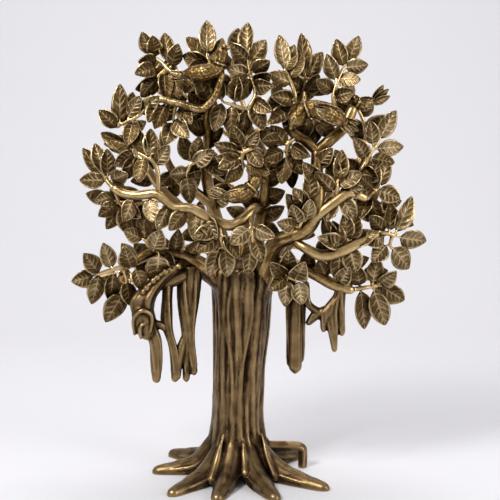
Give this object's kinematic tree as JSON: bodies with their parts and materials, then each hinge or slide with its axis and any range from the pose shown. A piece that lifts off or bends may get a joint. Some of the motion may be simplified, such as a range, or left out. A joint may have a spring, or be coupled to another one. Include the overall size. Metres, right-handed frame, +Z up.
{
  "type": "tree of life ornament",
  "caption": "Free-standing cast metal tree of life: fluted hollow trunk on spreading roots, forked boughs, leaf sprays, perched birds and hanging air roots.",
  "frame": {"origin": "centre of the whole tree's box, on the ground the roots stand on", "axes": "+Z up the trunk, +X to the right seen from the face of the tree, the face towards -Y"},
  "size_m": [0.2631, 0.1334, 0.3414],
  "materials": {
    "trunk_brass": "cast, dark antique patina",
    "bough_brass": "cast, burnished antique patina",
    "leaf_brass": "cast, antique patina, rubbed edges",
    "bird_brass": "cast, burnished antique patina",
    "air_root_brass": "cast, dark antique patina"
  },
  "bodies": {
    "root": {"bird_crown_left": "bird_brass", "bird_right": "bird_brass", "bird_far_right": "bird_brass", "bird_centre": "bird_brass", "spray_crown_left": "leaf_brass", "spray_left_upper": "leaf_brass", "spray_left_high": "leaf_brass", "spray_left_tip": "leaf_brass", "spray_left_inner": "leaf_brass", "spray_left_shoulder": "leaf_brass", "spray_lower_left": "leaf_brass", "spray_crown_mid_left": "leaf_brass", "spray_crown_centre": "leaf_brass", "spray_crown_mid_right": "leaf_brass", "spray_crown_right_inner": "leaf_brass", "spray_crown_right": "leaf_brass", "spray_centre": "leaf_brass", "spray_droop_left": "leaf_brass", "spray_droop_right": "leaf_brass", "spray_right_inner_low": "leaf_brass", "spray_right_inner_high": "leaf_brass", "spray_right_mid": "leaf_brass", "spray_right_mid_low": "leaf_brass", "spray_right_far": "leaf_brass", "spray_right_tip": "leaf_brass", "spray_right_upper": "leaf_brass", "spray_lower_right": "leaf_brass", "spray_lower_mid": "leaf_brass", "spray_back_lower_left": "leaf_brass", "spray_back_left": "leaf_brass", "spray_back_left_high": "leaf_brass", "spray_back_crown_left": "leaf_brass", "spray_back_crown": "leaf_brass", "spray_back_crown_right": "leaf_brass", "spray_back_right_high": "leaf_brass", "spray_back_right": "leaf_brass", "spray_back_lower_right": "leaf_brass", "spray_back_low": "leaf_brass", "spray_back_middle": "leaf_brass", "air_root_outer_left": "air_root_brass", "air_root_thin_left": "air_root_brass", "air_root_bundle_left": "air_root_brass", "air_root_slab_right": "air_root_brass", "air_root_fringe_right": "air_root_brass", "branch_right_low": "bough_brass", "branch_right_swoop": "bough_brass", "branch_right_second": "bough_brass", "branch_fork_right": "bough_brass", "branch_fork_left": "bough_brass", "branch_front_left": "bough_brass", "bough_left_middle": "bough_brass", "bough_back_centre": "bough_brass", "bough_back_right": "bough_brass", "bough_back_left": "bough_brass", "bough_right_low": "bough_brass", "bough_upper_left": "bough_brass", "bough_left_low": "bough_brass", "bough_right_main": "bough_brass", "bough_centre": "bough_brass", "trunk_and_roots": "trunk_brass"}
  },
  "joints": []
}
